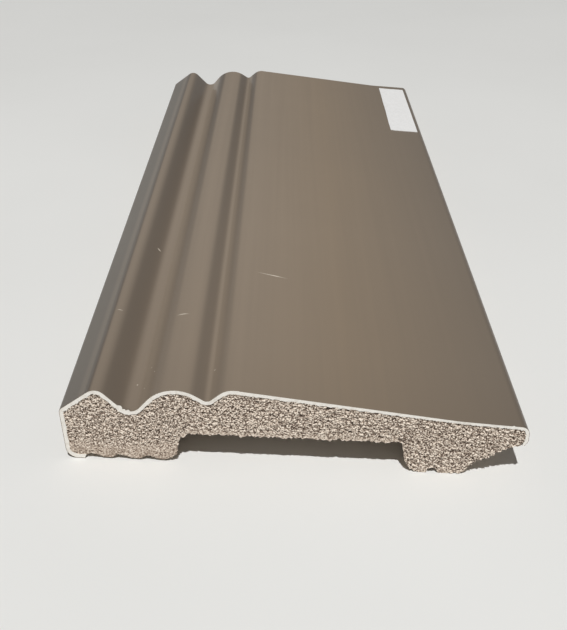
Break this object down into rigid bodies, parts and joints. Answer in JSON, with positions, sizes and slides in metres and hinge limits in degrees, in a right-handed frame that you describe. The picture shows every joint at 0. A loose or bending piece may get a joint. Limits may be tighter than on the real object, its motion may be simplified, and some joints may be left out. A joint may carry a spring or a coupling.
{
  "type": "skirting board",
  "caption": "Short length of foam skirting board with a beaded, satin coated face, a thin bevelled edge and a recessed, grooved back.",
  "frame": {"origin": "centre of the board's outline on the plane that it lies on, under the heel and the narrow foot", "axes": "+X across the width from the moulded edge to the thin edge, +Y along the length, +Z out of the face"},
  "size_m": [0.08, 0.2018, 0.0154],
  "materials": {
    "foam": "cut foam with open cells",
    "coat": "satin grey-brown film on a white coat",
    "label": "matt paper"
  },
  "bodies": {
    "root": {"foam_core": "foam", "face_coat": "coat", "paper_label": "label"}
  },
  "joints": []
}
